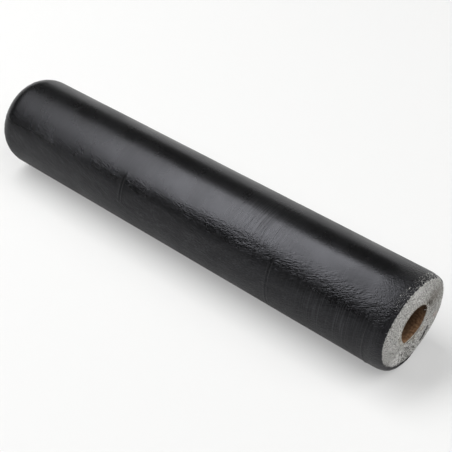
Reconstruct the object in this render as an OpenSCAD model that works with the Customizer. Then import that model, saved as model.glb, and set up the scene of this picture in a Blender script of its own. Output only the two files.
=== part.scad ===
// Roll of roofing felt: a felt sheet wound tight on a board tube and wrapped in black film.
// The roll lies on its side along X, its middle over the origin and its lowest line at Z = 0.
// All sizes are in millimetres and all angles in degrees.

/* [Felt sheet] */
// Width of the sheet, which is the length of the roll
sheet_width = 1000; // [300:10:2000]
// Thickness of the sheet as it lies in the roll
sheet_thickness = 2.4; // [1.5:0.1:5]
// Turns of the sheet round the tube
turn_count = 23; // [10:1:40]
// Radius of the soft shoulder round the near end
near_shoulder = 8; // [4:0.5:14]
// Radius of the softer shoulder round the far end
far_shoulder = 22; // [4:0.5:30]
// Width of the seam between two turns, where it opens on an end
seam_width = 0.7; // [0.3:0.1:1.2]
// Depth of the seam between two turns on an end
seam_depth = 1.2; // [0.5:0.1:3]

/* [Board tube] */
// Inside diameter of the tube
tube_bore = 76; // [40:1:152]
// Wall of the tube
tube_wall = 4; // [2:0.5:12]
// Distance from each end of the felt back to the end of the tube
tube_setback = 3; // [0:0.5:25]

/* [Film wrap] */
// Thickness of the wound layers of film together
film_thickness = 0.4; // [0.3:0.1:2]
// Angle by which the film is turned in round each shoulder
film_turn_in = 65; // [20:1:70]

/* [Fits] */
// Slack between two pieces that are wound on each other
winding_slack = 0.1; // [0:0.05:0.5]

/* [Hidden] */
$fn = 96;

// How far a cutting shape runs past the face that it cuts
cut_past = 1;

half_width = sheet_width / 2;
tube_radius = tube_bore / 2 + tube_wall;
felt_bore_radius = tube_radius + winding_slack;
felt_radius = felt_bore_radius + turn_count * sheet_thickness;
film_bore_radius = felt_radius + winding_slack;
film_radius = film_bore_radius + film_thickness;
// The two ends of the roll along its axis
near_end = 1;
far_end = -1;
ends = [near_end, far_end];

// Lays a profile, drawn as radius and distance along the roll, down as a turned solid along X
module turned_along_x() {
    translate([0, 0, film_radius]) rotate([0, 90, 0]) rotate_extrude() children();
}

// Draws the children at one end of the profile
module at_end(end) {
    mirror([0, end == far_end ? 1 : 0]) children();
}

// The felt and the film turn their shoulder at an end about one circle: its radius and its place
function shoulder_of(end) = end == near_end ? near_shoulder : far_shoulder;
function shoulder_circle_radius(end) = felt_radius - shoulder_of(end);
function shoulder_start(end) = half_width - shoulder_of(end);

// Half section of a plain round bar with soft shoulders about the shoulder circles
module soft_bar_profile(radius) {
    half_length = half_width + radius - felt_radius;
    difference() {
        translate([0, -half_length]) square([radius, 2 * half_length]);
        for (end = ends) at_end(end) {
            shoulder = radius - shoulder_circle_radius(end);
            translate([shoulder_circle_radius(end), shoulder_start(end)]) difference() {
                square(shoulder + cut_past);
                circle(shoulder);
            }
        }
    }
}

// Distance along the roll at which the felt's end lies at a given radius
function felt_end_at(end, radius) = radius <= shoulder_circle_radius(end)
    ? half_width
    : shoulder_start(end) + sqrt(pow(shoulder_of(end), 2) - pow(radius - shoulder_circle_radius(end), 2));

// Section of the seam that opens between two turns at a given radius
module seam_profile(end, radius) {
    bottom = felt_end_at(end, radius) - seam_depth;
    height = half_width - bottom + cut_past;
    spread = seam_width / 2 * height / seam_depth;
    translate([radius, bottom]) polygon([[0, 0], [spread, height], [-spread, height]]);
}

// Wound felt: one turned solid whose turns show as seams on both ends
module felt_roll() {
    color([0.72, 0.72, 0.70]) turned_along_x() difference() {
        soft_bar_profile(felt_radius);
        translate([0, -half_width - cut_past]) square([felt_bore_radius, sheet_width + 2 * cut_past]);
        for (end = ends) at_end(end) for (turn = [1 : turn_count - 1])
            seam_profile(end, felt_bore_radius + turn * sheet_thickness);
    }
}

// Board tube that the felt is wound on
module core_tube() {
    tube_length = sheet_width - 2 * tube_setback;
    color([0.45, 0.30, 0.20]) turned_along_x()
        translate([tube_bore / 2, -tube_length / 2]) square([tube_wall, tube_length]);
}

// Section of all that lies past the turned-in edge of the film at one end
module past_film_edge(end) {
    reach = film_radius;
    inward = shoulder_circle_radius(end);
    translate([inward, shoulder_start(end)]) polygon([
        [0, 0],
        [reach * cos(film_turn_in), reach * sin(film_turn_in)],
        [0, reach],
        [-inward, reach],
        [-inward, 0],
    ]);
}

// Film stretched round the roll, with both edges turned in over the shoulders
module film_wrap() {
    color([0.06, 0.06, 0.065]) turned_along_x() difference() {
        soft_bar_profile(film_radius);
        soft_bar_profile(film_bore_radius);
        for (end = ends) at_end(end) past_film_edge(end);
    }
}

felt_roll();
core_tube();
film_wrap();
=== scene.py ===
import math

import bmesh
import bpy
import numpy as np
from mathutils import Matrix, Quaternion, Vector, noise


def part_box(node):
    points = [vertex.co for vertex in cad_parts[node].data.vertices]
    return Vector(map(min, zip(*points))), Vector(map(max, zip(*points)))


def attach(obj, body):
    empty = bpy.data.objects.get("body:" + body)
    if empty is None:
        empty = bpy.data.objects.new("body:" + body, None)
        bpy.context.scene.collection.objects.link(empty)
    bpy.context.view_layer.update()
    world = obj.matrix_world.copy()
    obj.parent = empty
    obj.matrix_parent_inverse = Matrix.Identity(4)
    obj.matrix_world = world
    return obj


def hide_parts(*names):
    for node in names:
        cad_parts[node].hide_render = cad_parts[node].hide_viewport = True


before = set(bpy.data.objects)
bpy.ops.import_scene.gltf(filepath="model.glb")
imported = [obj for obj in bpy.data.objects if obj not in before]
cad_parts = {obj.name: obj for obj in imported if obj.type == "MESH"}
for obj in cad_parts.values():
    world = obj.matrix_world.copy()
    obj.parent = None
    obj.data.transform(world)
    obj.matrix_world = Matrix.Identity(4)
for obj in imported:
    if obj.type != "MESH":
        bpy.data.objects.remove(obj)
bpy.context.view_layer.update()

# The roll lies along X with its lowest line on the floor, and all lengths are metres
MM = 0.001
DEGREE = math.radians(1)
NEAR, FAR = 1, -1
HALF_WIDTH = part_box("felt_roll")[1].x
TUBE_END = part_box("core_tube")[1].x
FILM_RADIUS = 97.8 * MM
AXIS_HEIGHT = FILM_RADIUS
FILM_THICKNESS = 0.4 * MM
WINDING_SLACK = 0.1 * MM
FELT_RADIUS = FILM_RADIUS - FILM_THICKNESS - WINDING_SLACK
TURN_COUNT = 23
SHEET_THICKNESS = 2.4 * MM
FELT_BORE = FELT_RADIUS - TURN_COUNT * SHEET_THICKNESS
TUBE_RADIUS = FELT_BORE - WINDING_SLACK
TUBE_WALL = 4 * MM

# Soft shoulders as quarter ellipses: length along the roll and drop towards the axis
SHOULDER = {NEAR: (22 * MM, 8 * MM), FAR: (36 * MM, 22 * MM)}
# How far the film reaches in over the flat end for each radian past a quarter turn
FLAT_PER_TURN = 25 * MM

# The near end isn't cut quite square: its face leans towards -Y and a little down
LEAN_ACROSS = 0.055
LEAN_UP = 0.026
LEAN_REACH = 120 * MM


def add(tree, kind, inputs=None, **settings):
    """Adds a node, sets its properties, gives each input a value or a link, and returns its first output.

    The kind of a shader node goes without its prefix.
    """
    node = tree.nodes.new(kind if "Node" in kind else "ShaderNode" + kind)
    for name, value in settings.items():
        setattr(node, name, value)
    for key, value in (inputs or {}).items():
        if isinstance(value, bpy.types.NodeSocket):
            tree.links.new(value, node.inputs[key])
        else:
            node.inputs[key].default_value = value
    return node.outputs[0] if node.outputs else node


def colour(hex_code):
    """Linear colour, with alpha, of an sRGB hex value."""
    parts = [int(hex_code[i:i + 2], 16) / 255 for i in (1, 3, 5)]
    return [p / 12.92 if p <= 0.04045 else ((p + 0.055) / 1.055) ** 2.4 for p in parts] + [1.0]


def new_material(name):
    """A material with an empty node tree, and that tree."""
    material = bpy.data.materials.new(name)
    material.use_nodes = True
    material.node_tree.nodes.clear()
    return material, material.node_tree


def finished(material, surface):
    """The material with its surface set."""
    add(material.node_tree, "OutputMaterial", {"Surface": surface})
    return material


def set_stops(ramp, *stops):
    """Sets a colour ramp's stops, each a position and a hex colour."""
    elements = ramp.node.color_ramp.elements
    while len(elements) < len(stops):
        elements.new(0.5)
    for element, (position, hex_code) in zip(elements, stops):
        element.position = position
        element.color = colour(hex_code)


def new_piece(name, points, faces, material, smooth=True):
    """An object at the origin made of points and faces."""
    mesh = bpy.data.meshes.new(name)
    mesh.from_pydata([tuple(p) for p in points], [], [tuple(int(i) for i in f) for f in faces])
    mesh.materials.append(material)
    mesh.polygons.foreach_set("use_smooth", [smooth] * len(mesh.polygons))
    mesh.update()
    piece = bpy.data.objects.new(name, mesh)
    bpy.context.scene.collection.objects.link(piece)
    return piece


def smooth_step(value, start, stop):
    """0 before start, 1 after stop and smooth between."""
    share = np.clip((value - start) / (stop - start), 0, 1)
    return share * share * (3 - 2 * share)


def noise_at(along, across, size=(1, 1), layer=0.0):
    """Smooth noise of about -1 to 1 at two arrays of places, with cells of a given size, in one layer."""
    along, across = np.broadcast_arrays(along / size[0], across / size[1])
    values = [noise.noise((a, b, layer)) for a, b in zip(along.ravel(), across.ravel())]
    return np.array(values).reshape(along.shape)


def spread(columns, segments):
    """The columns of a table of rings, each value repeated round its ring, and the angles from the top."""
    angle = np.linspace(-math.pi, math.pi, segments, endpoint=False)
    repeated = [np.repeat(column[:, None], segments, axis=1) for column in columns]
    return repeated + [np.tile(angle, (len(columns[0]), 1))]


def join(piece, meshes):
    """Adds meshes to a piece."""
    joined = bmesh.new()
    for mesh in [piece.data] + meshes:
        joined.from_mesh(mesh)
    joined.to_mesh(piece.data)
    joined.free()


def leaned(points):
    """Points of the roll with the near end leaned out of square, fading out along the roll."""
    share = smooth_step(points[:, 0], HALF_WIDTH - LEAN_REACH, HALF_WIDTH)
    moved = points.copy()
    moved[:, 0] += share * (LEAN_ACROSS * points[:, 1] + LEAN_UP * (points[:, 2] - AXIS_HEIGHT))
    return moved


def grid_faces(rings, segments):
    """Faces of a grid of points that closes both ways: ring by ring, and round each ring."""
    ring, step = np.meshgrid(np.arange(rings), np.arange(segments), indexing="ij")
    next_ring = (ring + 1) % rings
    next_step = (step + 1) % segments
    corners = [ring * segments + step, next_ring * segments + step,
               next_ring * segments + next_step, ring * segments + next_step]
    return np.stack([c.ravel() for c in corners], axis=1)


def round_points(x, radius, angle):
    """Points at places along the roll, distances from its axis and angles from the top towards -Y."""
    points = np.stack([x, -radius * np.sin(angle), AXIS_HEIGHT + radius * np.cos(angle)], axis=-1)
    return points.reshape(-1, 3)


def shoulder_place(end, turn, over):
    """(x, radius) at a turn round a shoulder and a height over the felt, flat on the end past 90 degrees."""
    length, drop = SHOULDER[end]
    flat = FLAT_PER_TURN * np.maximum(turn - math.pi / 2, 0)
    turn = np.minimum(turn, math.pi / 2)
    x = end * (HALF_WIDTH - length + (length + over) * np.sin(turn))
    return x, FELT_RADIUS - drop + (drop + over) * np.cos(turn) - flat


def from_spot(tree, place, radius, degrees):
    """Distance from the spot on the near end at a distance from the axis and an angle from the top."""
    spot = leaned(round_points(np.array([HALF_WIDTH]), np.array([radius]), np.radians([degrees])))[0]
    return add(tree, "VectorMath", {0: place, 1: spot}, operation="DISTANCE").node.outputs["Value"]


# Material of the film

# Sizes of the film's patterns, drawn coarse enough to show: length along the roll and width round it
CRINKLE_SIZE = (7 * MM, 2.6 * MM)
WAVE_SIZE = (24 * MM, 9 * MM)
DUST_AND_SHEEN_SIZE = (5 * MM, 3 * MM)
DRIFT_SIZE = (90 * MM, 30 * MM)
LUMP_SIZE = 2.8 * MM
HAZE_SIZE = 70 * MM
PATCH_SIZE = 110 * MM
# Spacing of the tension lines, and how often they change for each radian round the roll
LINE_SPACING = 2.4 * MM
LINE_CHANGE = 1.1
# Where the film is drawn into tension lines: middle and half width along the roll, and angles from the top
TENSION = [(185 * MM, 95 * MM, -24, 58), (390 * MM, 115 * MM, 42, 122)]
# Share of a tight zone, along and round the roll, in which the tension is full
FULL_ALONG = 0.2
FULL_ROUND = 0.1
# Tension of the rest of the film
SLIGHT_TENSION = 0.12
# The crinkles slant away from the middle of the roll: metres round it for each metre squared along it
SLANT = 0.6
# The loose part of the film reaches higher up the near half: by how many degrees, and within what length
SLACK = 13
SLACK_LENGTH = 120 * MM
# Angle from the top of the band that is rubbed smooth
RUBBED_ANGLE = 22 * DEGREE
# Shares of the crinkles, waves and tension lines in the relief, and the height of the whole
CRINKLE_SHARE = 0.8
WAVE_SHARE = 0.7
LINE_SHARE = 0.3
RELIEF_HEIGHT = 1.1 * MM
# How far the line along which the dust and painted sheen start wanders, in radians
DRIFT_SWING = 1.2
# How much of the dust and painted sheen lies in the streaks along the tension lines
DUST_AND_SHEEN_STREAK_SHARE = 0.48


def on_sheet(tree, sheet, size, **inputs):
    """Noise on the film laid out flat, with cells of a given length and width."""
    place = add(tree, "Mapping", {"Vector": sheet, "Scale": (1 / size[0], 1 / size[1], 1)})
    return add(tree, "TexNoise", {"Vector": place, "Scale": 1.0, **inputs})


def film_place(tree):
    """Place, X, distance towards -Y, angle from the top, and place on the sheet laid out flat."""
    place = add(tree, "TexCoord").node.outputs["Object"]
    axes = add(tree, "SeparateXYZ", {0: place}).node.outputs
    x = axes["X"]
    height = add(tree, "Math", {0: axes["Z"], 1: AXIS_HEIGHT}, operation="SUBTRACT")
    across = add(tree, "Math", {0: axes["Y"], 1: -1.0}, operation="MULTIPLY")
    angle = add(tree, "Math", {0: across, 1: height}, operation="ARCTAN2")
    bend = add(tree, "Math", {0: x, 1: x}, operation="MULTIPLY")
    slanted = add(tree, "Math", {0: angle, 1: FILM_RADIUS}, operation="MULTIPLY")
    slanted = add(tree, "Math", {0: bend, 1: SLANT, 2: slanted}, operation="MULTIPLY_ADD")
    sheet = add(tree, "CombineXYZ", {"X": x, "Y": slanted})
    return place, x, across, angle, sheet


def off_middle(tree, value, middle):
    """How far a value lies from a middle, on either side."""
    away = add(tree, "Math", {0: value, 1: middle}, operation="SUBTRACT")
    return add(tree, "Math", {0: away}, operation="ABSOLUTE")


def tension_lines(tree, x, angle):
    """Lines round the roll where the film is tight: their relief, and the streaks of dust and painted sheen
    along them.
    """
    lines_x = add(tree, "Math", {0: x, 1: 1 / LINE_SPACING}, operation="MULTIPLY")
    lines_y = add(tree, "Math", {0: angle, 1: LINE_CHANGE}, operation="MULTIPLY")
    lines_place = add(tree, "CombineXYZ", {"X": lines_x, "Y": lines_y})
    lines = add(tree, "TexNoise", {"Vector": lines_place, "Scale": 1.0, "Detail": 1.0},
                noise_dimensions="2D")
    tight = SLIGHT_TENSION
    for middle, half, first, last in TENSION:
        sector = (last - first) / 2 * DEGREE
        along = off_middle(tree, x, middle)
        turned = off_middle(tree, angle, (first + last) / 2 * DEGREE)
        zone = add(tree, "MapRange", {"Value": along, "From Min": half, "From Max": half * FULL_ALONG})
        reach = add(tree, "MapRange", {
            "Value": turned, "From Min": sector, "From Max": sector * FULL_ROUND})
        tight = add(tree, "Math", {0: zone, 1: reach, 2: tight}, operation="MULTIPLY_ADD")
    # Painted sheen: lighter streaks along the tension lines stand in for their reflections
    dust_and_sheen_streaks = add(tree, "MapRange", {"Value": lines, "From Min": 0.46, "From Max": 0.62})
    lines = add(tree, "Math", {0: lines, 1: tight}, operation="MULTIPLY")
    dust_and_sheen_streaks = add(tree, "Math", {0: dust_and_sheen_streaks, 1: tight}, operation="MULTIPLY")
    return lines, dust_and_sheen_streaks


def loose_crinkles(tree, place, x, side_angle, sheet, wave):
    """Relief of the loose outer layer: crinkles over waves, in patches on the sides of the roll."""
    relief = on_sheet(tree, sheet, CRINKLE_SIZE, Detail=2.5)
    relief = add(tree, "Math", {0: relief, 1: CRINKLE_SHARE}, operation="MULTIPLY")
    relief = add(tree, "Math", {0: wave, 1: WAVE_SHARE, 2: relief}, operation="MULTIPLY_ADD")
    # The top is pulled smooth, and the crinkles lie higher up towards the near end
    slack = add(tree, "MapRange", {"Value": x, "From Max": SLACK_LENGTH, "To Max": SLACK * DEGREE})
    side = add(tree, "Math", {0: side_angle, 1: slack}, operation="ADD")
    loose = add(tree, "MapRange", {
        "Value": side, "From Min": 41 * DEGREE, "From Max": 58 * DEGREE}, interpolation_type="SMOOTHSTEP")
    loose = add(tree, "MapRange", {"Value": loose, "To Min": 0.1, "To Max": 1.4})
    patch = add(tree, "TexNoise", {"Vector": place, "Scale": 1 / PATCH_SIZE})
    patch = add(tree, "MapRange", {"Value": patch, "From Min": 0.35, "From Max": 0.6, "To Min": 0.6})
    for share in (loose, patch):
        relief = add(tree, "Math", {0: relief, 1: share}, operation="MULTIPLY")
    return relief


def film_roughness(tree, place, angle, front, gathered):
    """Hazy gloss: rubbed smooth in one band along the top front, and duller away from it."""
    haze = add(tree, "TexNoise", {"Vector": place, "Scale": 1 / HAZE_SIZE, "Detail": 4.0})
    haze = add(tree, "MapRange", {
        "Value": haze, "From Min": 0.3, "From Max": 0.7, "To Min": 0.22, "To Max": 0.33})
    away = off_middle(tree, angle, RUBBED_ANGLE)
    dulled = add(tree, "MapRange", {
        "Value": away, "From Min": 38 * DEGREE, "From Max": 62 * DEGREE, "To Max": 0.28})
    dulled = add(tree, "Math", {0: dulled, 1: front}, operation="MULTIPLY")
    # The gathered film before the near end is less dull
    glossy = add(tree, "MapRange", {
        "Value": gathered, "From Min": 0.3, "From Max": 1.2, "To Min": 1.0, "To Max": 0.5})
    return add(tree, "Math", {0: dulled, 1: glossy, 2: haze}, operation="MULTIPLY_ADD")


def film_dust_and_sheen(tree, x, side_angle, sheet, wave, dust_and_sheen_streaks):
    """Dust with painted sheen standing in for glints, in the crinkles low on the sides, thinner towards the
    near end, and along the tension lines.
    """
    dust_and_sheen = on_sheet(tree, sheet, DUST_AND_SHEEN_SIZE, Detail=4.0, Roughness=0.75)
    dust_and_sheen = add(tree, "MapRange", {"Value": dust_and_sheen, "From Min": 0.42, "From Max": 0.68})
    cloud = add(tree, "MapRange", {"Value": wave, "From Min": 0.4, "From Max": 0.62, "To Min": 0.4})
    thinner = add(tree, "MapRange", {
        "Value": x, "From Min": 100 * MM, "From Max": 420 * MM, "To Min": 1.0, "To Max": 0.35})
    # The dust and painted sheen start along an uneven line
    drift = on_sheet(tree, sheet, DRIFT_SIZE)
    drift = add(tree, "Math", {0: drift, 1: DRIFT_SWING, 2: side_angle}, operation="MULTIPLY_ADD")
    drift = add(tree, "Math", {0: drift, 1: DRIFT_SWING / 2}, operation="SUBTRACT")
    low = add(tree, "MapRange", {
        "Value": drift, "From Min": 58 * DEGREE, "From Max": 84 * DEGREE}, interpolation_type="SMOOTHSTEP")
    for share in (cloud, thinner, low):
        dust_and_sheen = add(tree, "Math", {0: dust_and_sheen, 1: share}, operation="MULTIPLY")
    dust_and_sheen_streaks = add(tree, "Math", {0: dust_and_sheen_streaks, 1: DUST_AND_SHEEN_STREAK_SHARE}, operation="MULTIPLY")
    return add(tree, "Math", {0: dust_and_sheen, 1: dust_and_sheen_streaks}, operation="MAXIMUM")


def black_film():
    """Black polyethylene stretch film: blown thin and smooth, so it shines softly over a near-black body."""
    material, tree = new_material("black_polyethylene_film")
    place, x, across, angle, sheet = film_place(tree)
    side_angle = add(tree, "Math", {0: angle}, operation="ABSOLUTE")
    wave = on_sheet(tree, sheet, WAVE_SIZE)
    lines, dust_and_sheen_streaks = tension_lines(tree, x, angle)
    relief = loose_crinkles(tree, place, x, side_angle, sheet, wave)
    relief = add(tree, "Math", {0: lines, 1: LINE_SHARE, 2: relief}, operation="MULTIPLY_ADD")
    # The film is gathered into small lumps before it turns in over the near end
    lumps = add(tree, "TexNoise", {"Vector": place, "Scale": 1 / LUMP_SIZE})
    gathered = add(tree, "MapRange", {
        "Value": x, "From Min": HALF_WIDTH - 70 * MM, "From Max": HALF_WIDTH - 12 * MM, "To Max": 1.5})
    relief = add(tree, "Math", {0: lumps, 1: gathered, 2: relief}, operation="MULTIPLY_ADD")
    bump = add(tree, "Bump", {"Height": relief, "Distance": RELIEF_HEIGHT})
    # The front is duller than the back and carries more dust and painted sheen
    front = add(tree, "MapRange", {
        "Value": across, "From Min": -50 * MM, "From Max": 30 * MM, "To Min": 0.35})
    roughness = film_roughness(tree, place, angle, front, gathered)
    dust_and_sheen = film_dust_and_sheen(tree, x, side_angle, sheet, wave, dust_and_sheen_streaks)
    dust_and_sheen = add(tree, "Math", {0: dust_and_sheen, 1: front}, operation="MULTIPLY")
    # Painted sheen: the pale tone that the dust mask mixes in also stands in for glints on the crinkles and
    # along the tension ridges
    tone = add(tree, "Mix", {0: dust_and_sheen, 6: colour("#090909"), 7: colour("#38383A")},
               data_type="RGBA").node.outputs[2]
    surface = add(tree, "BsdfPrincipled", {
        "Base Color": tone, "Roughness": roughness, "IOR": 1.51, "Specular IOR Level": 0.3,
        "Specular Tint": colour("#F4F5FF"), "Normal": bump})
    return finished(material, surface)


# Materials of the felt and the tube

# Marks on the near end: distance from the axis, angle from the top towards -Y, reach, strength and colour
NEAR_MARKS = [
    (60 * MM, -62, 44 * MM, 0.75, "#757068"),
    (48 * MM, -60, 16 * MM, 0.85, "#37312A"),
    (50 * MM, -113, 4 * MM, 1.0, "#2A2620"),
    (78 * MM, -110, 11 * MM, 0.5, "#AD9388"),
    (50 * MM, -135, 10 * MM, 0.6, "#A0947A"),
    (45 * MM, -165, 10 * MM, 0.6, "#A0947A"),
    (88 * MM, 4, 22 * MM, 0.55, "#D9D8D6"),
    (80 * MM, 152, 38 * MM, 0.85, "#E4E3E1"),
]
# A dark gap between two turns low on the near end: distance from the axis and angle at both its tips
CRACK = [(69 * MM, -126), (79 * MM, -154)]
# Painted shade: dark marks along the crack darken the gap between the turns
NEAR_MARKS += [(radius, degrees, 7 * MM, 1.0, "#1F1C18") for radius, degrees in np.linspace(*CRACK, 7)[1:-1]]
# Clumps of fibre and dark flecks, drawn coarse enough to show, and the ragged edges of the marks
CLUMP_SIZE = 2.5 * MM
FLECK_SIZE = 3 * MM
RAGGED_SIZE = 7 * MM
# Middle of the soiled patch low on the near end, and the distances from it at which it ends and is full
SOILED_PLACE = (72 * MM, 172)
SOILED_REACH = (66 * MM, 16 * MM)
# Paper fibre of the board
PAPER_SIZE = 4 * MM
# Depths behind the mouth between which shade is painted into the board
PAINTED_SHADE_DEPTH = (2 * MM, 26 * MM)
# The darker patch on the near mouth, in the same way
DARK_PATCH_PLACE = (38 * MM, -50)
DARK_PATCH_REACH = (40 * MM, 14 * MM)


def marked(tree, place, ragged, tone):
    """The tone with the soiling and stains of the near end, its lighter patches and the shade painted along
    its crack, all with soft ragged edges.
    """
    for radius, degrees, reach, strength, hex_code in NEAR_MARKS:
        away = from_spot(tree, place, radius, degrees)
        away = add(tree, "Math", {0: ragged, 1: reach, 2: away}, operation="MULTIPLY_ADD")
        share = add(tree, "MapRange", {
            "Value": away, "From Min": reach * 1.4, "From Max": reach * 0.6, "To Max": strength})
        tone = add(tree, "Mix", {0: share, 6: tone, 7: colour(hex_code)}, data_type="RGBA").node.outputs[2]
    return tone


def flecked(tree, place, ragged, tone):
    """The tone with dark flecks, thick in patches low on the near end and rare elsewhere."""
    fleck = add(tree, "TexNoise", {"Vector": place, "Scale": 1 / FLECK_SIZE, "Detail": 1.0})
    away = from_spot(tree, place, *SOILED_PLACE)
    soiled = add(tree, "MapRange", {
        "Value": away, "From Min": SOILED_REACH[0], "From Max": SOILED_REACH[1], "To Max": 0.34})
    fleck = add(tree, "Math", {0: soiled, 1: ragged, 2: fleck}, operation="MULTIPLY_ADD")
    fleck = add(tree, "MapRange", {"Value": fleck, "From Min": 0.66, "From Max": 0.76})
    return add(tree, "Mix", {0: fleck, 6: tone, 7: colour("#3F3C36")}, data_type="RGBA").node.outputs[2]


def pale_felt():
    """Needled mineral-fibre felt, cut across: dry, matt and powdery, with pale and dark flecks of fibre."""
    material, tree = new_material("needled_fibre_felt")
    place = add(tree, "TexCoord").node.outputs["Object"]
    grain = add(tree, "TexNoise", {
        "Vector": place, "Scale": 1 / CLUMP_SIZE, "Detail": 3.0, "Roughness": 0.6})
    tone = add(tree, "ValToRGB", {"Fac": grain})
    set_stops(tone, (0.38, "#7B7A78"), (0.5, "#AAA9A6"), (0.61, "#D9D8D5"))
    ragged = add(tree, "TexNoise", {"Vector": place, "Scale": 1 / RAGGED_SIZE, "Detail": 4.0})
    tone = marked(tree, place, ragged, tone)
    tone = flecked(tree, place, ragged, tone)
    bump = add(tree, "Bump", {"Height": grain, "Strength": 0.8, "Distance": 1.5 * MM})
    surface = add(tree, "BsdfPrincipled", {
        "Base Color": tone, "Roughness": 0.95, "Specular IOR Level": 0.15, "Normal": bump})
    return finished(material, surface)


def white_fibre():
    """Loose mineral fibre: near white and matt."""
    material, tree = new_material("loose_mineral_fibre")
    surface = add(tree, "BsdfPrincipled", {
        "Base Color": colour("#DEDDD9"), "Roughness": 0.9, "Specular IOR Level": 0.2})
    return finished(material, surface)


def brown_board():
    """Spiral-wound grey-brown board: glued paper plies, matt, with a torn pale mouth at each end and painted
    shade deeper inside.
    """
    material, tree = new_material("spiral_wound_board")
    place = add(tree, "TexCoord").node.outputs["Object"]
    fibre = add(tree, "TexNoise", {"Vector": place, "Scale": 1 / PAPER_SIZE, "Detail": 5.0})
    tone = add(tree, "ValToRGB", {"Fac": fibre})
    set_stops(tone, (0.3, "#694C38"), (0.7, "#A58363"))
    # Painted shade: deeper behind its mouths the board is darkened, standing in for the shade inside the tube
    along = add(tree, "SeparateXYZ", {0: place}).node.outputs["X"]
    along = add(tree, "Math", {0: along}, operation="ABSOLUTE")
    inside = add(tree, "MapRange", {
        "Value": along, "From Min": TUBE_END - PAINTED_SHADE_DEPTH[0], "From Max": TUBE_END - PAINTED_SHADE_DEPTH[1],
        "To Max": 0.85})
    tone = add(tree, "Mix", {0: inside, 6: tone, 7: colour("#2B1B10")}, data_type="RGBA").node.outputs[2]
    # The board is darker over the upper right of the near mouth, next to a dark mark on the felt
    away = from_spot(tree, place, *DARK_PATCH_PLACE)
    dark_patch = add(tree, "MapRange", {
        "Value": away, "From Min": DARK_PATCH_REACH[0], "From Max": DARK_PATCH_REACH[1], "To Max": 0.8})
    tone = add(tree, "Mix", {0: dark_patch, 6: tone, 7: colour("#2B241B")}, data_type="RGBA").node.outputs[2]
    # Torn paper fibres show pale on the cut mouth
    pale = add(tree, "ValToRGB", {"Fac": fibre})
    set_stops(pale, (0.36, "#6E6961"), (0.62, "#B2AFA8"))
    torn = add(tree, "Attribute", attribute_name="torn").node.outputs["Fac"]
    tone = add(tree, "Mix", {0: torn, 6: tone, 7: pale}, data_type="RGBA").node.outputs[2]
    bump = add(tree, "Bump", {"Height": fibre, "Strength": 0.6, "Distance": 1.0 * MM})
    surface = add(tree, "BsdfPrincipled", {
        "Base Color": tone, "Roughness": 0.9, "Specular IOR Level": 0.25, "Normal": bump})
    return finished(material, surface)


FILM = black_film()
FELT = pale_felt()
BOARD = brown_board()
FIBRE = white_fibre()

# Film wrap

FILM_SEGMENTS = 256
FILM_RING_STEP = 3.3 * MM
# Rings round each shoulder, on the film's outer and inner side
OUTER_RINGS = 18
INNER_RINGS = 8
# How far round its shoulder the film is turned in at each end, in degrees
TURN_IN = {NEAR: 66, FAR: 70}
# Raggedness of the turned-in edge: swing in degrees, waves for each radian, and row of the noise
RAGGEDNESS = [(5, 9, 1), (4, 30, 3), (3, 75, 5)]
# Near end: how many degrees more or less the film is turned in low in front, behind, and in the tears
LOW_FRONT_MORE = 34
BEHIND_LESS = 14
TORN_LESS = 20
RIM_STAND_OFF = 2.5 * MM
# Long creases round the roll: place along it, and the angles from the top between which they show
CREASES = [(247 * MM, 46, 122), (-127 * MM, 44, 88)]
CREASE_WIDTH = 1.4 * MM
CREASE_FADE = 8
CREASE_DEPTH = 0.55 * MM
# A raised fold a little before the film turns in over the near end
FOLD_PLACE = 463 * MM
FOLD_WIDTH = 2 * MM
FOLD_HEIGHT = 1.0 * MM
# Sizes of the other forms, along the roll and round it, but of the pleats the other way about
LARGE_CRINKLES = (22 * MM, 8 * MM)
SMALL_CRINKLES = (12 * MM, 6.5 * MM)
RIDGES = (8 * MM, 150 * MM)
SLOW_WAVES = (170 * MM, 70 * MM)
PLEATS = (7 * MM, 15 * MM)
CRINKLE_HEIGHT = 0.18 * MM
RIDGE_HEIGHT = 0.05 * MM
SLOW_WAVE_HEIGHT = 0.3 * MM
PLEAT_HEIGHT = 0.4 * MM
# The relief lies a little over the smooth film and is nowhere lower than this
RELIEF_LIFT = 0.2 * MM
RELIEF_FLOOR = -0.3 * MM


def film_rings():
    """The film's rings in order round its section: end, share of the turn-in, X and height over the felt."""
    outer = FILM_RADIUS - FELT_RADIUS
    inner = WINDING_SLACK
    start = -HALF_WIDTH + SHOULDER[FAR][0]
    stop = HALF_WIDTH - SHOULDER[NEAR][0]
    count = int((stop - start) / FILM_RING_STEP)
    places = list(np.linspace(start, stop, count)[1:-1])
    # Rings lie closer at the creases and the fold
    for crease in CREASES:
        places += [crease[0] + k * CREASE_WIDTH for k in range(-3, 4)]
    places += [FOLD_PLACE + k / 2 * FOLD_WIDTH for k in range(-3, 4)]
    rings = [(FAR, share, 0, outer) for share in np.linspace(1, 0, OUTER_RINGS)]
    rings += [(0, 0, x, outer) for x in sorted(places)]
    rings += [(NEAR, share, 0, outer) for share in np.linspace(0, 1, OUTER_RINGS)]
    rings += [(NEAR, share, 0, inner) for share in np.linspace(1, 0, INNER_RINGS)]
    rings += [(FAR, share, 0, inner) for share in np.linspace(0, 1, INNER_RINGS)]
    return np.array(rings)


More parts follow.
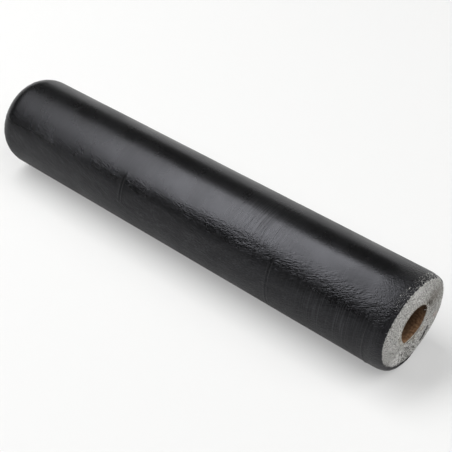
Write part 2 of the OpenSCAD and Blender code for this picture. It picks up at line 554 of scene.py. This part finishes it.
def crinkled(x, angle):
    """Height of the crinkles of the loose outer layer, the tension ridges and the slow waves."""
    degrees = np.abs(np.degrees(angle))
    round_place = FILM_RADIUS * angle
    slanted = round_place + SLANT * x * x
    crinkle = 1 - 2 * np.abs(noise_at(x, slanted, LARGE_CRINKLES))
    crinkle += 0.5 - np.abs(noise_at(x, slanted, SMALL_CRINKLES, layer=5))
    # The crinkles are thickest on the sides, weaker low down and calm near the middle of the roll
    loose = smooth_step(degrees + SLACK * smooth_step(x, 0, SLACK_LENGTH), 40, 58)
    loose *= 1 - 0.4 * smooth_step(degrees, 66, 90)
    loose *= 1 - 0.7 * np.exp(-((x + 30 * MM) / (80 * MM)) ** 2)
    towards_near = 0.5 + 0.5 * smooth_step(x, -50 * MM, 100 * MM)
    relief = CRINKLE_HEIGHT * crinkle * (0.04 + loose) * towards_near
    # The ridges run round the roll and are strongest towards the near end
    ridge = noise_at(x, round_place, RIDGES, layer=9)
    tight = 0.2 + np.exp(-((x - 185 * MM) / (60 * MM)) ** 2) + smooth_step(x, 290 * MM, 380 * MM) * loose
    relief += RIDGE_HEIGHT * ridge * tight
    relief += SLOW_WAVE_HEIGHT * noise_at(x, round_place, SLOW_WAVES, layer=13)
    return relief


def creased(x, angle):
    """Height of the long creases on the side towards -Y: a groove between two low ridges."""
    degrees = np.degrees(angle)
    relief = np.zeros_like(x)
    for place, first, last in CREASES:
        shows = smooth_step(degrees, first, first + CREASE_FADE)
        shows = shows * (1 - smooth_step(degrees, last - CREASE_FADE, last))
        away = np.abs(x - place) / CREASE_WIDTH
        relief += CREASE_DEPTH * shows * (np.exp(-(away - 2.5) ** 2) - np.exp(-away ** 2))
    return relief


def gathered_at_ends(x, angle, share, end):
    """Height of the pleats over both shoulders, and of the fold before the near one, towards -Y."""
    degrees = np.degrees(angle)
    before = smooth_step(np.abs(x), HALF_WIDTH - 60 * MM, HALF_WIDTH - 36 * MM) * 0.25
    gathered = np.where(end == 0, before, 0.25 + share)
    relief = PLEAT_HEIGHT * gathered * noise_at(FILM_RADIUS * angle, x, PLEATS, layer=17)
    fold = np.exp(-((x - FOLD_PLACE) / FOLD_WIDTH) ** 2)
    relief += FOLD_HEIGHT * fold * smooth_step(degrees, 50, 75) * smooth_step(degrees, 150, 120)
    return relief


def low_front(angle):
    """1 low on the side towards -Y, where the film reaches furthest over the near end, and 0 elsewhere."""
    degrees = np.degrees(angle) % 360
    return smooth_step(degrees, 70, 140) * smooth_step(degrees, 198, 165)


def film_turn_in(end, angle):
    """Degrees by which the film is turned in round an end: a ragged edge, torn in places near the top."""
    ragged = np.full_like(angle, TURN_IN[end])
    for swing, waves, row in RAGGEDNESS:
        ragged += swing * noise_at(angle * waves, row * end)
    if end == NEAR:
        degrees = np.degrees(angle)
        behind = smooth_step(degrees, -165, -140) * smooth_step(degrees, -35, -55)
        torn = smooth_step(degrees, -55, -40) * smooth_step(degrees, 35, 20)
        ragged += LOW_FRONT_MORE * low_front(angle) - BEHIND_LESS * behind
        ragged -= TORN_LESS * torn * np.maximum(noise_at(angle * 16, 7), 0)
    return ragged


def film_wrap():
    """The film: a thin closed sleeve with its creases in its outer side and both edges turned in."""
    rings = film_rings()
    end, share, x, over, turn = spread(rings.T, FILM_SEGMENTS)
    radius = FELT_RADIUS + over
    # The relief is raised square to the film: outwards, and along the roll too on the shoulders
    lift_x = np.zeros_like(x)
    lift_r = np.ones_like(x)
    for side in (NEAR, FAR):
        here = end == side
        bend = share * np.radians(film_turn_in(side, turn[0]))
        side_x, side_radius = shoulder_place(side, bend, over)
        x = np.where(here, side_x, x)
        radius = np.where(here, side_radius, radius)
        lift_x = np.where(here, side * np.sin(bend), lift_x)
        lift_r = np.where(here, np.cos(bend), lift_r)
    relief = crinkled(x, turn) + creased(x, turn) + gathered_at_ends(x, turn, share, end)
    outside = over > 2 * WINDING_SLACK
    relief = np.maximum(np.where(outside, relief, 0) + RELIEF_LIFT, RELIEF_FLOOR)
    # Low on the near end the film's edge stands off the felt
    relief += np.where(end == NEAR, RIM_STAND_OFF * low_front(turn) * share ** 2, 0)
    points = round_points(x + lift_x * relief, radius + lift_r * relief, turn)
    points[:, 2] = np.maximum(points[:, 2], 0)
    return new_piece("film_wrap_crinkled", leaned(points), grid_faces(len(rings), FILM_SEGMENTS), FILM)


# Wound felt

EDGE_DEPTH = 14 * MM
EDGE_ROUNDING = 0.75 * MM
# Share of the sheet's thickness that its edge fills, which leaves a seam between two turns
EDGE_FILL = 0.98
STEPS_PER_TURN = 96
UNEVENNESS = 2.2 * MM
# How fast the height of an end changes from turn to turn, and round the roll
TURN_CHANGE = 0.9
ROUND_CHANGE = (1.6, 1.6, 1.6)
CRACK_OPENING = 2.4 * MM
CRACK_REACH = 7 * MM
# The plain body lies this far behind its ends and under its surface
BODY_BEHIND = 7 * MM
BODY_UNDER = 0.1 * MM
BODY_SEGMENTS = 128
BODY_SHOULDER_STEPS = 14


def tree_with_inputs(name, inputs, takes_geometry=False):
    """A new Geometry Nodes tree with named inputs of each kind, and its group input's outputs by name."""
    tree = bpy.data.node_groups.new(name, "GeometryNodeTree")
    tree.interface.new_socket("Geometry", in_out="OUTPUT", socket_type="NodeSocketGeometry")
    if takes_geometry:
        tree.interface.new_socket("Geometry", in_out="INPUT", socket_type="NodeSocketGeometry")
    for kind, labels in inputs.items():
        for label in labels:
            tree.interface.new_socket(label, in_out="INPUT", socket_type="NodeSocket" + kind)
    return tree, add(tree, "NodeGroupInput").node.outputs


def mesh_from_tree(tree, values, base=None):
    """The plain mesh that a tree makes on a base mesh with the given input values."""
    holder = bpy.data.objects.new(tree.name, base or bpy.data.meshes.new(tree.name))
    bpy.context.scene.collection.objects.link(holder)
    modifier = holder.modifiers.new(tree.name, "NODES")
    modifier.node_group = tree
    for item in tree.interface.items_tree:
        if item.in_out == "INPUT" and item.name in values:
            modifier[item.identifier] = values[item.name]
    depsgraph = bpy.context.evaluated_depsgraph_get()
    made = bpy.data.meshes.new_from_object(holder.evaluated_get(depsgraph))
    bpy.data.objects.remove(holder)
    return made


def uneven_height(tree, given, place, radius):
    """Height by which each turn stands higher or lower than the next, changing slowly round the roll."""
    outward = add(tree, "VectorMath", {0: place}, operation="NORMALIZE")
    turn_number = add(tree, "Math", {0: radius, 1: given["Sheet Thickness"]}, operation="DIVIDE")
    turn_number = add(tree, "Math", {0: turn_number, 1: TURN_CHANGE}, operation="MULTIPLY")
    turn_shift = add(tree, "CombineXYZ", {"Z": turn_number})
    wander = add(tree, "VectorMath", {0: outward, 1: ROUND_CHANGE, 2: turn_shift}, operation="MULTIPLY_ADD")
    uneven = add(tree, "TexNoise", {"Vector": wander, "W": given["Seed"], "Scale": 1.0},
                 noise_dimensions="4D")
    uneven = add(tree, "Math", {0: uneven, 1: 0.5}, operation="SUBTRACT")
    return add(tree, "Math", {0: uneven, 1: given["Unevenness"]}, operation="MULTIPLY")


def shoulder_share(tree, given, radius, half):
    """How far the shoulder lies back, from 0 to -1: a quarter ellipse at the sheet's outer side."""
    drop = given["Shoulder Drop"]
    outer_side = add(tree, "Math", {0: radius, 1: half}, operation="ADD")
    flat_radius = add(tree, "Math", {0: given["Outer Radius"], 1: drop}, operation="SUBTRACT")
    past = add(tree, "Math", {0: outer_side, 1: flat_radius}, operation="SUBTRACT")
    past = add(tree, "Math", {0: past, 1: drop}, operation="DIVIDE", use_clamp=True)
    past = add(tree, "Math", {0: past, 1: past}, operation="MULTIPLY")
    left = add(tree, "Math", {0: 1.0, 1: past}, operation="SUBTRACT", use_clamp=True)
    left = add(tree, "Math", {0: left}, operation="SQRT")
    return add(tree, "Math", {0: left, 1: 1.0}, operation="SUBTRACT")


def wound_end_tree():
    """Sweeps the sheet's cut edge along a spiral, turn on turn, with an uneven height and a soft shoulder."""
    tree, given = tree_with_inputs("wound_felt_end", {
        "Float": ["Turns", "Inner Radius", "Outer Radius", "Sheet Thickness", "Edge Depth", "Edge Rounding",
                  "Unevenness", "Shoulder Length", "Shoulder Drop", "Seed"],
        "Int": ["Steps per Turn"], "Material": ["Material"]})
    half = add(tree, "Math", {0: given["Sheet Thickness"], 1: 0.5}, operation="MULTIPLY")
    first = add(tree, "Math", {0: given["Inner Radius"], 1: half}, operation="ADD")
    last = add(tree, "Math", {0: given["Outer Radius"], 1: half}, operation="SUBTRACT")
    spiral = add(tree, "GeometryNodeCurveSpiral", {
        "Resolution": given["Steps per Turn"], "Rotations": given["Turns"], "Start Radius": first,
        "End Radius": last, "Height": 0.0})
    place = add(tree, "GeometryNodeInputPosition")
    radius = add(tree, "VectorMath", {0: place}, operation="LENGTH").node.outputs["Value"]
    uneven = uneven_height(tree, given, place, radius)
    back = shoulder_share(tree, given, radius, half)
    height = add(tree, "Math", {0: back, 1: given["Shoulder Length"], 2: uneven}, operation="MULTIPLY_ADD")
    offset = add(tree, "CombineXYZ", {"Z": height})
    spiral = add(tree, "GeometryNodeSetPosition", {"Geometry": spiral, "Offset": offset})
    spiral = add(tree, "GeometryNodeSetCurveNormal", {"Curve": spiral}, mode="Z_UP")
    section = add(tree, "GeometryNodeCurvePrimitiveQuadrilateral", {
        "Width": given["Sheet Thickness"], "Height": given["Edge Depth"]})
    section = add(tree, "GeometryNodeFilletCurve", {
        "Curve": section, "Count": 2, "Radius": given["Edge Rounding"]}, mode="POLY")
    band = add(tree, "GeometryNodeCurveToMesh", {
        "Curve": spiral, "Profile Curve": section, "Fill Caps": True})
    band = add(tree, "GeometryNodeSetShadeSmooth", {"Geometry": band, "Shade Smooth": True})
    band = add(tree, "GeometryNodeRealizeInstances", {"Geometry": band})
    band = add(tree, "GeometryNodeSetMaterial", {"Geometry": band, "Material": given["Material"]})
    add(tree, "NodeGroupOutput", {0: band})
    return tree


def cracked(points):
    """Points of the near end with the turns pushed apart along the crack."""
    (first_radius, first_degrees), (last_radius, last_degrees) = CRACK
    y, z = points[:, 1], points[:, 2] - AXIS_HEIGHT
    radius = np.hypot(y, z)
    degrees = np.degrees(np.arctan2(-y, z))
    share = (degrees - first_degrees) / (last_degrees - first_degrees)
    middle = first_radius + share * (last_radius - first_radius)
    open_here = CRACK_OPENING * smooth_step(share, 0, 0.3) * smooth_step(share, 1, 0.7)
    shift = open_here * np.sign(radius - middle) * np.exp(-np.abs(radius - middle) / CRACK_REACH)
    moved = points.copy()
    moved[:, 1] += shift * y / radius
    moved[:, 2] += shift * z / radius
    return moved


def felt_end(tree, end):
    """The wound edge of the sheet at one end, in its place."""
    length, drop = SHOULDER[end]
    made = mesh_from_tree(tree, {
        "Turns": float(TURN_COUNT - 1), "Inner Radius": FELT_BORE,
        "Outer Radius": FELT_RADIUS - WINDING_SLACK, "Sheet Thickness": SHEET_THICKNESS * EDGE_FILL,
        "Edge Depth": EDGE_DEPTH, "Edge Rounding": EDGE_ROUNDING, "Steps per Turn": STEPS_PER_TURN,
        "Unevenness": UNEVENNESS, "Shoulder Length": length, "Shoulder Drop": drop,
        "Seed": 2.0 + end, "Material": FELT})
    flat = np.empty(len(made.vertices) * 3, np.float32)
    made.vertices.foreach_get("co", flat)
    x, y, z = flat.reshape(-1, 3).T
    points = np.stack([end * (HALF_WIDTH - EDGE_DEPTH / 2 + z), end * x, AXIS_HEIGHT + y], axis=1)
    if end == NEAR:
        points = cracked(points)
    made.vertices.foreach_set("co", leaned(points).astype(np.float32).ravel())
    made.update()
    return made


def felt_body():
    """Points and faces of the plain body of the felt behind its ends."""
    turn = np.radians(np.linspace(0, 90, BODY_SHOULDER_STEPS))
    near_x, near_r = shoulder_place(NEAR, turn, -BODY_UNDER)
    far_x, far_r = shoulder_place(FAR, turn, -BODY_UNDER)
    bore = FELT_BORE + BODY_UNDER
    profile = np.concatenate([
        np.stack([far_x + BODY_BEHIND, far_r], axis=1)[::-1],
        np.stack([near_x - BODY_BEHIND, near_r], axis=1),
        [[HALF_WIDTH - BODY_BEHIND, bore], [-HALF_WIDTH + BODY_BEHIND, bore]]])
    return round_points(*spread(profile.T, BODY_SEGMENTS)), grid_faces(len(profile), BODY_SEGMENTS)


def wound_felt():
    """The felt as one piece: its body and the spiral edges of the sheet at both ends."""
    points, faces = felt_body()
    piece = new_piece("felt_wound", leaned(points), faces, FELT)
    tree = wound_end_tree()
    join(piece, [felt_end(tree, end) for end in (NEAR, FAR)])
    return piece


# Loose fibres

# Steps of the surface that carries fibres: outwards and round
SURFACE_ROWS = 24
SURFACE_STEPS = 64
# A fibre lies within this many radians of flat, and its size varies between two shares
FIBRE_TILT = 0.35
FIBRE_SHARES = (0.5, 1.3)
# Where loose fibres lie: end, radii, angles, height over the felt, density, length, width, lift and seed
FIBRE_PLACES = [
    (NEAR, (FELT_BORE, 92 * MM), (-180, 180), 0, 40000, 5 * MM, 0.3 * MM, 0.06, 1),
    (FAR, (FELT_BORE, 88 * MM), (-180, 180), 0, 40000, 5 * MM, 0.3 * MM, 0.06, 2),
    (NEAR, (93.5 * MM, 97 * MM), (-46, 38), 0.9 * MM, 130000, 1.6 * MM, 0.45 * MM, 0.35, 3),
    (NEAR, (90.5 * MM, 93.5 * MM), (-46, 24), 0.8 * MM, 320000, 2.6 * MM, 0.55 * MM, 0.35, 5),
    (NEAR, (40 * MM, 48 * MM), (60, 300), 0, 160000, 4.5 * MM, 0.6 * MM, 0.12, 4),
]


def fibre_tree():
    """Scatters short bent fibres over a surface, each turned its own way and lying nearly flat."""
    tree, given = tree_with_inputs("loose_fibres", {
        "Float": ["Density", "Length", "Width", "Lift"], "Int": ["Seed"], "Material": ["Material"]},
                                   takes_geometry=True)
    scatter = add(tree, "GeometryNodeDistributePointsOnFaces", {
        "Mesh": given["Geometry"], "Density": given["Density"], "Seed": given["Seed"]}).node
    rise = add(tree, "Math", {0: given["Length"], 1: given["Lift"]}, operation="MULTIPLY")
    part = add(tree, "Math", {0: given["Length"], 1: 0.5}, operation="MULTIPLY")
    middle = add(tree, "CombineXYZ", {"X": part, "Z": rise})
    tip = add(tree, "CombineXYZ", {"X": given["Length"], "Y": rise, "Z": rise})
    path = add(tree, "GeometryNodeCurveQuadraticBezier", {
        "Resolution": 3, "Start": (0, 0, 0), "Middle": middle, "End": tip})
    half = add(tree, "Math", {0: given["Width"], 1: 0.5}, operation="MULTIPLY")
    ring = add(tree, "GeometryNodeCurvePrimitiveCircle", {"Resolution": 3, "Radius": half})
    fibre = add(tree, "GeometryNodeCurveToMesh", {"Curve": path, "Profile Curve": ring, "Fill Caps": True})
    turn = add(tree, "FunctionNodeRandomValue", {
        0: (-FIBRE_TILT, -FIBRE_TILT, 0.0), 1: (FIBRE_TILT, FIBRE_TILT, 2 * math.pi), "Seed": given["Seed"]},
               data_type="FLOAT_VECTOR")
    turn = add(tree, "FunctionNodeEulerToRotation", {"Euler": turn})
    turn = add(tree, "FunctionNodeRotateRotation", {
        "Rotation": scatter.outputs["Rotation"], "Rotate By": turn}, rotation_space="LOCAL")
    size = add(tree, "FunctionNodeRandomValue", {
        2: FIBRE_SHARES[0], 3: FIBRE_SHARES[1], "Seed": given["Seed"]}, data_type="FLOAT").node.outputs[1]
    fibres = add(tree, "GeometryNodeInstanceOnPoints", {
        "Points": scatter.outputs["Points"], "Instance": fibre, "Rotation": turn, "Scale": size})
    fibres = add(tree, "GeometryNodeRealizeInstances", {"Geometry": fibres})
    fibres = add(tree, "GeometryNodeSetMaterial", {"Geometry": fibres, "Material": given["Material"]})
    add(tree, "NodeGroupOutput", {0: fibres})
    return tree


def end_surface(end, radii, degrees, over):
    """A grid of faces on the felt's end, between two radii and two angles, lying a little over it."""
    length, drop = SHOULDER[end]
    radius, angle = np.meshgrid(np.linspace(*radii, SURFACE_ROWS),
                                np.radians(np.linspace(*degrees, SURFACE_STEPS)), indexing="ij")
    past = np.clip((radius - FELT_RADIUS + drop) / drop, 0, 1)
    x = end * (HALF_WIDTH + over - (length + over) * (1 - np.sqrt(1 - past * past)))
    radius = radius + over * past
    row, step = np.meshgrid(np.arange(SURFACE_ROWS - 1), np.arange(SURFACE_STEPS - 1), indexing="ij")
    first = (row * SURFACE_STEPS + step).ravel()
    corners = [first, first + SURFACE_STEPS, first + SURFACE_STEPS + 1, first + 1]
    faces = np.stack(corners[::-end], axis=1)
    mesh = bpy.data.meshes.new("end_surface")
    mesh.from_pydata(leaned(round_points(x, radius, angle)).tolist(), [], faces.tolist())
    return mesh


def loose_fibres():
    """Fibres that stand off the cut ends, thick over the torn edge of the film and at the tube's mouth."""
    tree = fibre_tree()
    piece = new_piece("felt_loose_fibres", [], [], FIBRE)
    patches = []
    for end, radii, degrees, over, density, length, width, lift, seed in FIBRE_PLACES:
        patches.append(mesh_from_tree(tree, {
            "Density": density, "Length": length, "Width": width, "Lift": lift, "Seed": seed,
            "Material": FIBRE}, end_surface(end, radii, degrees, over)))
    join(piece, patches)
    return piece


# Board tube

TUBE_SEGMENTS = 128
# The near mouth is a circle pressed upwards, and its shape fades out this far inside
MOUTH_RADIUS = 36 * MM
MOUTH_RISE = 4.5 * MM
MOUTH_DEPTH = 22 * MM
# Bulges of the near mouth: height, angle from the top and half width in degrees
MOUTH_BULGES = [(2.6 * MM, -55, 28), (4.5 * MM, 146, 20)]
FRAY = 1.4 * MM
# Wall that is left at least where the mouth is widest
LEAST_WALL = 0.5 * MM
# The near mouth is raised flush with the felt, a little unevenly, over the last part of the tube
FLUSH = 3.2 * MM
FLUSH_SWING = 0.5 * MM
FLUSH_DEPTH = 5 * MM
# The lip falls off outwards and runs into the felt
MOUTH_LIP = 4 * MM
LIP_DEPTH = 1 * MM
LIP_SLOPE = 1.8 * MM


def tube_places():
    """Places of the tube's rings along the roll, closer together towards the near mouth."""
    body = np.linspace(-TUBE_END + 20 * MM, TUBE_END - 40 * MM, 40)
    mouth = np.linspace(TUBE_END - 36 * MM, TUBE_END - 2 * MM, 15)
    return np.concatenate([[-TUBE_END], body, mouth, [TUBE_END - 0.4 * MM, TUBE_END]])


def mouth_radius(turn):
    """Radius of the frayed near mouth at angles from the top."""
    radius = MOUTH_RISE * np.cos(turn) + np.sqrt(MOUTH_RADIUS ** 2 - (MOUTH_RISE * np.sin(turn)) ** 2)
    for height, middle, half in MOUTH_BULGES:
        radius += height * np.exp(-((np.degrees(turn) - middle) / half) ** 2)
    radius += FRAY * noise_at(turn * 6, 1) + FRAY * noise_at(turn * 17, 2)
    return np.minimum(radius, TUBE_RADIUS - LEAST_WALL)


def board_tube():
    """The tube, its near mouth frayed and pressed upwards, its far mouth plain."""
    along = tube_places()
    count = len(along)
    outside, turn = spread([along], TUBE_SEGMENTS)
    inside = outside[::-1]
    flush = FLUSH + FLUSH_SWING * noise_at(turn * 8, 3)
    outer_x = outside + (flush - LIP_SLOPE) * smooth_step(outside, TUBE_END - FLUSH_DEPTH, TUBE_END)
    inner_x = inside + flush * smooth_step(inside, TUBE_END - FLUSH_DEPTH, TUBE_END)
    outer_radius = TUBE_RADIUS + MOUTH_LIP * smooth_step(outside, TUBE_END - LIP_DEPTH, TUBE_END)
    share = smooth_step(inside, TUBE_END - MOUTH_DEPTH, TUBE_END)
    inner_radius = (TUBE_RADIUS - TUBE_WALL) * (1 - share) + mouth_radius(turn) * share
    points = round_points(np.concatenate([outer_x, inner_x]), np.concatenate([outer_radius, inner_radius]),
                          np.concatenate([turn, turn]))
    piece = new_piece("core_tube_frayed", leaned(points), grid_faces(2 * count, TUBE_SEGMENTS), BOARD)
    # The rings at both mouths are torn
    torn = np.zeros((2 * count, TUBE_SEGMENTS), np.float32)
    torn[[0, count - 1, count, -1]] = 1
    piece.data.attributes.new("torn", "FLOAT", "POINT").data.foreach_set("value", torn.ravel())
    return piece


film = film_wrap()
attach(film, "root")
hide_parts("film_wrap")
felt = wound_felt()
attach(felt, "root")
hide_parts("felt_roll")
fibres = loose_fibres()
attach(fibres, "root")
tube = board_tube()
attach(tube, "root")
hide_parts("core_tube")

# Studio: floor, soft lights, flags and the camera

FLOOR_HALF = 60
FLOOR_DROP = 0.3 * MM
# Distances from the middle between which the floor passes into plain white
FLOOR_FADE = (1.5, 5.0)
# Edges of the flags
FLAG_LEFT, FLAG_RIGHT = -25, 25
FLAG_FRONT, FLAG_BACK = -7.6, 17.5
FLAG_TOP = 6.3
FRONT_FLAG_RIGHT = 15
# Key light: strips side by side, which fade between two distances from its right edge
KEY_RIGHT_X = -2.1
KEY_MIDDLE_Y = -2.7
KEY_HEIGHT = 6.1
KEY_LENGTH = 9.7
KEY_SLANT = -14 * DEGREE
KEY_RADIANCE = 7.6
KEY_FADE = (4.2, 2.3)
KEY_LEAST = 0.07
STRIP_COUNT = 16
STRIP_WIDTH = 0.45
FILL_PLACE = (3.8, 0.4, 4.6)
FILL_AIM = (0.5, 0, 0.1)
FILL_SIZE = (6, 5)
FILL_RADIANCE = 2.4
# Strength of the world as a light
WORLD_LIGHT = 0.45
CAMERA_PLACE = Vector((1.0152, -1.1102, 1.3252))
CAMERA_AIM = Vector((0.0548, 0.0178, 0.0686))
CAMERA_LENS = 77.2
CAMERA_SENSOR = 36


def seen_directly(tree):
    """1 for rays from the camera, a reflection or through glass, and 0 for rays that only bring light."""
    ray = add(tree, "LightPath").node.outputs
    seen = ray["Is Camera Ray"]
    for kind in ("Is Glossy Ray", "Is Transmission Ray"):
        seen = add(tree, "Math", {0: seen, 1: ray[kind]}, operation="MAXIMUM")
    return seen


def plain_finish(name, hex_code):
    """A plain matt finish for the studio."""
    material, tree = new_material(name)
    return finished(material, add(tree, "BsdfDiffuse", {"Color": colour(hex_code)}))


def white_floor():
    """Pale floor that keeps a light shadow near the roll and passes into plain white further out."""
    material, tree = new_material("white_floor")
    place = add(tree, "TexCoord").node.outputs["Object"]
    away = add(tree, "VectorMath", {0: place}, operation="LENGTH").node.outputs["Value"]
    far = add(tree, "MapRange", {
        "Value": away, "From Min": FLOOR_FADE[0], "From Max": FLOOR_FADE[1], "To Min": 0.3},
              interpolation_type="SMOOTHSTEP")
    seen = add(tree, "Math", {0: far, 1: seen_directly(tree)}, operation="MULTIPLY")
    near_floor = add(tree, "BsdfDiffuse", {"Color": colour("#DCDCDB")})
    far_floor = add(tree, "Emission", {"Color": colour("#FFFFFF"), "Strength": 1.0})
    surface = add(tree, "MixShader", {0: seen, 1: near_floor, 2: far_floor})
    return finished(material, surface)


def panel(name, corners, material):
    """A flat studio panel with four corners."""
    piece = new_piece(name, corners, [(0, 1, 2, 3)], material, smooth=False)
    return piece


def studio():
    """The floor, and a grey and a dark flag that mirror in the film."""
    dark = plain_finish("dark_flag", "#202020")
    grey = plain_finish("grey_flag", "#8C8C8C")
    corners = [(-1, -1), (1, -1), (1, 1), (-1, 1)]
    panel("floor", [(x * FLOOR_HALF, y * FLOOR_HALF, -FLOOR_DROP) for x, y in corners], white_floor())
    ceiling = panel("ceiling_flag", [
        (FLAG_LEFT, FLAG_FRONT, FLAG_TOP), (FLAG_LEFT, FLAG_BACK, FLAG_TOP),
        (FLAG_RIGHT, FLAG_BACK, FLAG_TOP), (FLAG_RIGHT, FLAG_FRONT, FLAG_TOP)], grey)
    wall = panel("front_flag", [
        (FLAG_LEFT, FLAG_FRONT, 0), (FLAG_LEFT, FLAG_FRONT, FLAG_TOP),
        (FRONT_FLAG_RIGHT, FLAG_FRONT, FLAG_TOP), (FRONT_FLAG_RIGHT, FLAG_FRONT, 0)], dark)
    for flag in (ceiling, wall):
        flag.visible_camera = False
        flag.visible_shadow = False


def soft_light(name, place, aim, size, radiance, slant=0.0):
    """A rectangular soft light of a given radiance, turned by its slant about its own axis."""
    light = bpy.data.lights.new(name, "AREA")
    light.shape = "RECTANGLE"
    light.size, light.size_y = size
    light.energy = radiance * math.pi * size[0] * size[1]
    lamp = bpy.data.objects.new(name, light)
    lamp.location = place
    aimed = (Vector(aim) - Vector(place)).to_track_quat("-Z", "Y")
    lamp.rotation_euler = (aimed @ Quaternion((0, 0, 1), slant)).to_euler()
    lamp.visible_camera = False
    bpy.context.scene.collection.objects.link(lamp)


def key_softbox():
    """A long slanted softbox overhead, in strips that fade towards its left end."""
    size = (STRIP_WIDTH * math.cos(KEY_SLANT), KEY_LENGTH)
    for i in range(STRIP_COUNT):
        across = (i + 0.5) * STRIP_WIDTH
        share = KEY_LEAST + (1 - KEY_LEAST) * smooth_step(across, *KEY_FADE)
        place = (KEY_RIGHT_X - across, KEY_MIDDLE_Y, KEY_HEIGHT)
        aim = (*place[:2], 0)
        soft_light(f"key_softbox_{i}", place, aim, size, KEY_RADIANCE * share, KEY_SLANT)


def world_light():
    """An even world, white where it is seen directly and dimmer as a light."""
    world = bpy.data.worlds.new("studio")
    bpy.context.scene.world = world
    world.use_nodes = True
    tree = world.node_tree
    tree.nodes.clear()
    strength = add(tree, "MapRange", {"Value": seen_directly(tree), "To Min": WORLD_LIGHT})
    light = add(tree, "Background", {"Color": colour("#FFFFFF"), "Strength": strength})
    add(tree, "OutputWorld", {"Surface": light})


def camera():
    """The camera, as fitted to the outline of the roll."""
    lens = bpy.data.cameras.new("camera")
    lens.sensor_width = CAMERA_SENSOR
    lens.lens = CAMERA_LENS
    eye = bpy.data.objects.new("camera", lens)
    eye.location = CAMERA_PLACE
    eye.rotation_euler = (CAMERA_AIM - CAMERA_PLACE).to_track_quat("-Z", "Y").to_euler()
    bpy.context.scene.collection.objects.link(eye)
    bpy.context.scene.camera = eye


studio()
key_softbox()
soft_light("fill_softbox", FILL_PLACE, FILL_AIM, FILL_SIZE, FILL_RADIANCE)
world_light()
camera()
bpy.context.scene.view_settings.view_transform = "Standard"
